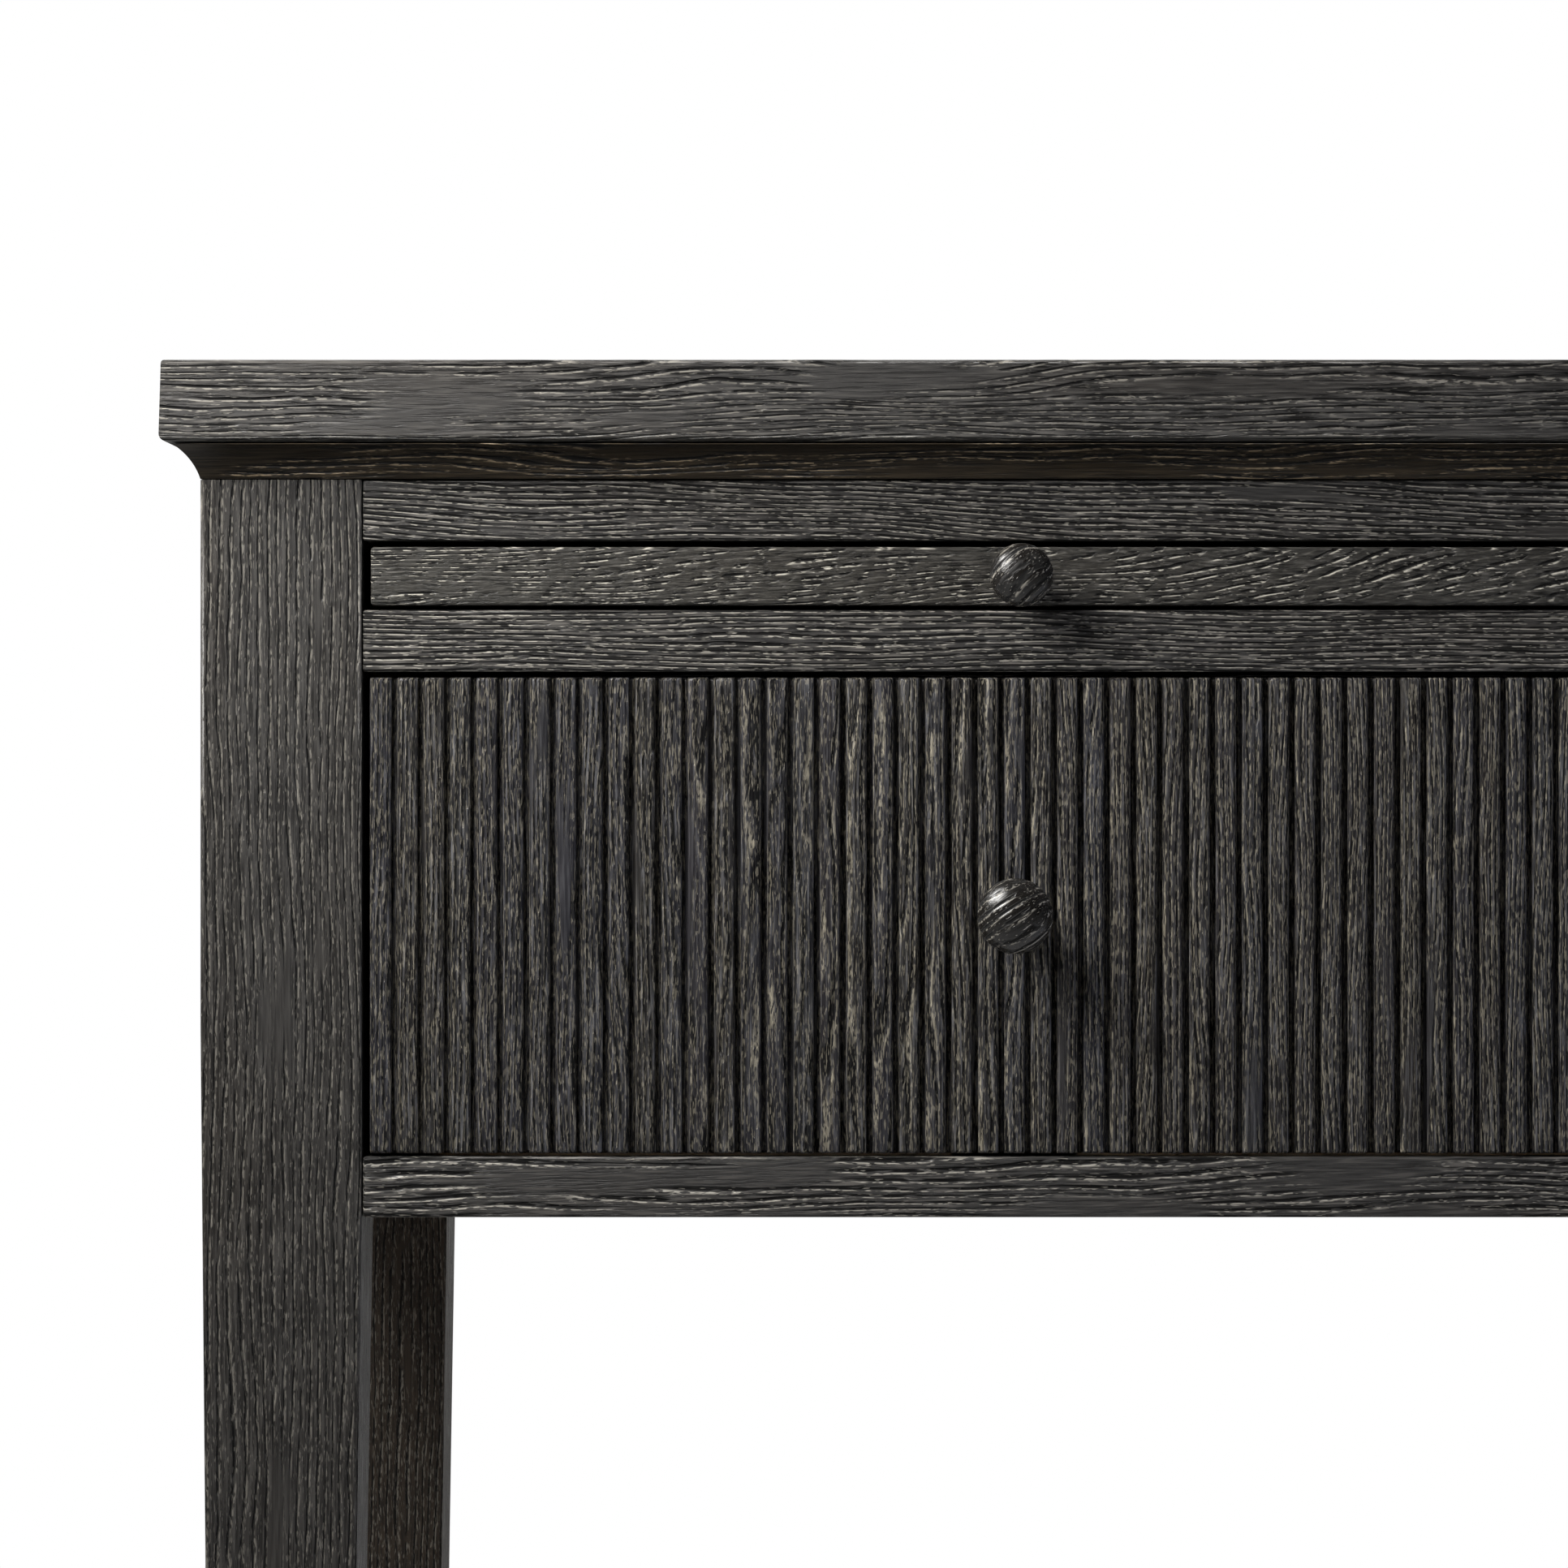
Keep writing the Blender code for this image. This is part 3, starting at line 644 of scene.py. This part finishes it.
KNOB_STEPS = 64
TURNED_BLACK = {
    **BRUSHED_BLACK,
    "late": "#161514",
    "early": "#0b0a0a",
    "brown": "#17130f",
    "hair_show": 0.4,
    "painted_sheen": "#1e1c1a",
    "wax_and_lip_highlight_show": 0.48,
    "relief": 0.0002,
    "smooth": 0.23,
    "gloss": 0.5,
}
for kind in ("drawer", "slide"):
    for number, bay in enumerate(BAYS):
        name = f"{kind}_{bay}_knob"
        low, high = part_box(name)
        radius = (high.x - low.x) / 2
        reach = radius * 1.9
        rim = reach - radius * 0.62
        quarter = math.pi / 2
        dome = [
            (radius * math.sin(quarter * i / 14), rim + (reach - rim) * math.cos(quarter * i / 14))
            for i in range(15)
        ]
        turns = [quarter * i / 6 for i in range(1, 7)]
        heel = [
            (radius * (0.60 + 0.40 * math.cos(a)), rim - radius * 0.36 * math.sin(a)) for a in turns
        ]
        neck = [(radius * 0.50, rim - radius * 0.44), (radius * 0.46, rim - radius * 0.70)]
        neck += [(radius * 0.49, rim - radius * 1.0), (radius * 0.60, 0.0003)]
        spigot = [(0.0035, 0.0003), (0.0035, -0.014), (0.0, -0.014)]
        face_y = low.y + reach
        middle = Vector(((low.x + high.x) / 2, face_y, (low.z + high.z) / 2))
        bm = bmesh.new()
        verts = [bm.verts.new((r, -y, 0.0)) for r, y in dome + heel + neck + spigot]
        edges = [bm.edges.new(pair) for pair in zip(verts, verts[1:])]
        bmesh.ops.spin(
            bm,
            geom=verts + edges,
            cent=(0.0, 0.0, 0.0),
            axis=(0.0, 1.0, 0.0),
            angle=2 * math.pi,
            steps=KNOB_STEPS,
            use_merge=True,
        )
        bmesh.ops.remove_doubles(bm, verts=bm.verts, dist=1e-6)
        for face in bm.faces:
            face.smooth = True
        bmesh.ops.translate(bm, verts=bm.verts, vec=middle)
        knob_oak = oak(
            f"turned_black_oak_{kind}_{bay}",
            TURNED_BLACK,
            "X",
            middle,
            71 + number + (0 if kind == "drawer" else 10),
            pith=(0.05, 0.01),
            lean=(0.0, math.radians(33 if kind == "drawer" else 42), 0.0),
            ring=0.0034,
            calm=0.28,
        )
        make_piece(f"{kind}_knob_{bay}", bm, knob_oak, f"{kind}_{bay}", "knob_oak", name)


# ---------------------------------------------------------------- Drawer boxes, runners, guides and stops
# Planed natural oak under a matt lacquer, out of sight until a drawer or a slide is pulled out.
# Its pores stay open as fine brown lines. Only the arrises were taken off with sandpaper.

SANDED_ARRIS = 0.0005
PLANED_OAK = {
    "late": "#ab8860",
    "early": "#9d7850",
    "brown": "#9b7850",
    "hair": "#94704a",
    "painted_sheen": "#b7946c",
    "crack": "#80603c",
    "hair_show": 0.6,
    "painted_sheen_show": 0.6,
    "wax_and_lip_highlight": "#c09a6c",
    "wax_and_lip_highlight_show": 0.2,
    "relief": 0.00008,
    "smooth": 0.50,
    "gloss": 0.4,
}
bay_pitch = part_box("stile_right")[0].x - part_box("stile_left")[0].x
drawer_height = Vector((0.0, 0.0, top_low.z - 0.12))
along_y = oak(
    "planed_natural_oak_sides",
    PLANED_OAK,
    "Y",
    drawer_height,
    91,
    pith=(0.06, 0.04),
    lean=(0.0, 0.01, 0.02),
    ring=0.0034,
    gape=0.16,
    staves=(0, -bay_pitch * 2.75, bay_pitch / 2),
)
along_x = oak(
    "planed_natural_oak_backs_and_bottoms",
    PLANED_OAK,
    "X",
    drawer_height,
    92,
    pith=(0.09, 0.05),
    lean=(0.0, 0.01, 0.02),
    ring=0.0034,
    gape=0.16,
    staves=(0, -bay_pitch * 2.5, bay_pitch),
)


def soften(piece, width, segments):
    """Joins the CAD mesh's split corners and rounds its sharp edges, without touching the mesh itself."""
    weld = piece.modifiers.new("joined_corners", "WELD")
    weld.merge_threshold = 0.00001
    bevel = piece.modifiers.new("softened_arris", "BEVEL")
    bevel.width = width
    bevel.segments = segments
    bevel.limit_method = "ANGLE"
    bevel.angle_limit = math.radians(40)


for name, piece in nodes.items():
    if name.startswith(("drawer_runner", "slide_guide")) or name.endswith(("_side_left", "_side_right")):
        grained = along_y
    elif name.startswith("drawer") and name.endswith(("_back", "_bottom")):
        grained = along_x
    elif name.startswith("drawer_stop"):
        grained = along_x
    else:
        continue
    piece.data.materials.clear()
    piece.data.materials.append(grained)
    soften(piece, SANDED_ARRIS, 2)


# ---------------------------------------------------------------- Glides
# Discs of pale nylon nailed under the feet, moulded with a faint grainy texture.

GLIDE_ARRIS = 0.0003
nylon = bpy.data.materials.new("moulded_pale_nylon")
nylon.use_nodes = True
tree = nylon.node_tree
tree.nodes.clear()
add = partial(add_node, tree)
place = add("TexCoord").node.outputs["Object"]
cloudy = add("TexNoise", {"Vector": place, "Scale": 90.0, "Detail": 2.0})
speckle = add("TexNoise", {"Vector": place, "Scale": 2200.0, "Detail": 1.0})
milky = add("Mix", {0: cloudy, 6: linear("#bdb8ac"), 7: linear("#a9a497")}, data_type="RGBA")
dull = add("MapRange", {0: speckle, 3: 0.38, 4: 0.52})
bump = add("Bump", {"Height": speckle, "Strength": 1.0, "Distance": 0.00002})
shader = add(
    "BsdfPrincipled",
    {"Base Color": milky.node.outputs[2], "Roughness": dull, "Normal": bump, "Metallic": 0.0, "IOR": 1.5},
)
add("OutputMaterial", {"Surface": shader})
for name, piece in nodes.items():
    if name.startswith("glide_"):
        piece.data.materials.clear()
        piece.data.materials.append(nylon)
        soften(piece, GLIDE_ARRIS, 2)


# ---------------------------------------------------------------- Studio
# A pale floor, a white surround, a close soft light at the upper left, a cooler one on the right and a wide
# one behind, which shows the back of the table when it is seen from there.

LENS = 174.4
CAMERA_BACK = 2.40
CAMERA_RIGHT = 0.2301
CAMERA_HEIGHT = 0.6706
camera = bpy.data.objects.new("camera", bpy.data.cameras.new("camera"))
bpy.context.scene.collection.objects.link(camera)
camera.data.lens = LENS
camera.data.sensor_width = 36.0
camera.data.shift_x = -0.0921
camera.data.shift_y = 0.0181
camera.data.clip_start = 0.05
camera.data.clip_end = 100.0
camera.location = (leg_low.x + CAMERA_RIGHT, leg_low.y - CAMERA_BACK, CAMERA_HEIGHT)
camera.rotation_euler = (math.pi / 2, 0.0, 0.0)
bpy.context.scene.camera = camera


def soft_light(name, place, target, size, power, colour):
    """A rectangular softbox that points at a place."""
    lamp = bpy.data.lights.new(name, "AREA")
    lamp.shape = "RECTANGLE"
    lamp.size, lamp.size_y = size
    lamp.energy = power
    lamp.color = linear(colour)[:3]
    made = bpy.data.objects.new(name, lamp)
    bpy.context.scene.collection.objects.link(made)
    made.location = place
    made.rotation_mode = "QUATERNION"
    made.rotation_quaternion = (Vector(target) - Vector(place)).to_track_quat("-Z", "Y")
    made.visible_camera = False
    return made


corner = Vector((leg_low.x, leg_low.y, top_high.z))
aim = corner + Vector((0.22, 0.0, -0.12))
key_place = corner + Vector((-0.20, -0.28, 0.31))
soft_light("left_softbox", key_place, aim, (0.42, 0.32), 11.5, "#fffdfa")
far_aim = corner + Vector((1.1, 0.0, -0.15))
far_place = corner + Vector((1.6, -0.30, 0.28))
cool_light = soft_light("right_softbox", far_place, far_aim, (0.6, 0.8), 12.0, "#e3e9ff")
cool_light.visible_glossy = False  # it would glare on the top when the table is seen from behind

behind_table = Vector((0.0, far_high.y + 1.5, 1.25))
soft_light("back_softbox", behind_table, (0.0, far_high.y, 0.60), (1.8, 1.0), 16.0, "#fffdfa")

floor_mesh = bmesh.new()
bmesh.ops.create_grid(floor_mesh, x_segments=1, y_segments=1, size=30.0)
mesh = bpy.data.meshes.new("floor")
floor_mesh.to_mesh(mesh)
floor_mesh.free()
floor = bpy.data.objects.new("floor", mesh)
bpy.context.scene.collection.objects.link(floor)
paint = bpy.data.materials.new("pale_studio_floor")
paint.use_nodes = True
tree = paint.node_tree
tree.nodes.clear()
add = partial(add_node, tree)
spot = add("TexCoord").node.outputs["Object"]
away = add("VectorMath", {0: spot}, operation="LENGTH").node.outputs["Value"]
far = add("MapRange", {0: away, 1: 1.2, 2: 3.2}, interpolation_type="SMOOTHSTEP")
to_camera = add("LightPath")
bright = add("MapRange", {0: far, 3: 0.68, 4: 1.0})
share = add("Math", {0: bright, 1: to_camera}, operation="MULTIPLY")
pale = add("BsdfPrincipled", {"Base Color": linear("#dcdcda"), "Roughness": 0.9})
glow = add("Emission", {"Color": (1.0, 1.0, 1.0, 1.0), "Strength": 1.0})
add("OutputMaterial", {"Surface": add("MixShader", {0: share, 1: pale, 2: glow})})
mesh.materials.append(paint)

# The surround looks white. It lights the table from behind and a little from above, and is dim in front.
world = bpy.data.worlds.new("studio")
bpy.context.scene.world = world
world.use_nodes = True
tree = world.node_tree
tree.nodes.clear()
add = partial(add_node, tree)
toward = add("SeparateXYZ", {0: add("TexCoord")}).node.outputs
overhead = add("Math", {0: toward[2], 1: 0.75}, operation="MULTIPLY")
overhead = add("Math", {0: toward[1], 1: 0.95, 2: overhead}, operation="MULTIPLY_ADD")
level = add("MapRange", {0: overhead, 1: 0.20, 2: 0.95, 3: 0.01, 4: 0.42}, interpolation_type="SMOOTHSTEP")
behind = add("MapRange", {0: toward[1], 1: 0.25, 2: 0.85, 4: 0.45}, interpolation_type="SMOOTHSTEP")
level = add("Math", {0: level, 1: behind}, operation="ADD")
white = (1.0, 1.0, 1.0, 1.0)
sky = add("Background", {"Color": white, "Strength": level})
plain = add("Background", {"Color": white, "Strength": 1.0})
add("OutputWorld", {"Surface": add("MixShader", {0: add("LightPath"), 1: sky, 2: plain})})
bpy.context.scene.view_settings.view_transform = "Standard"
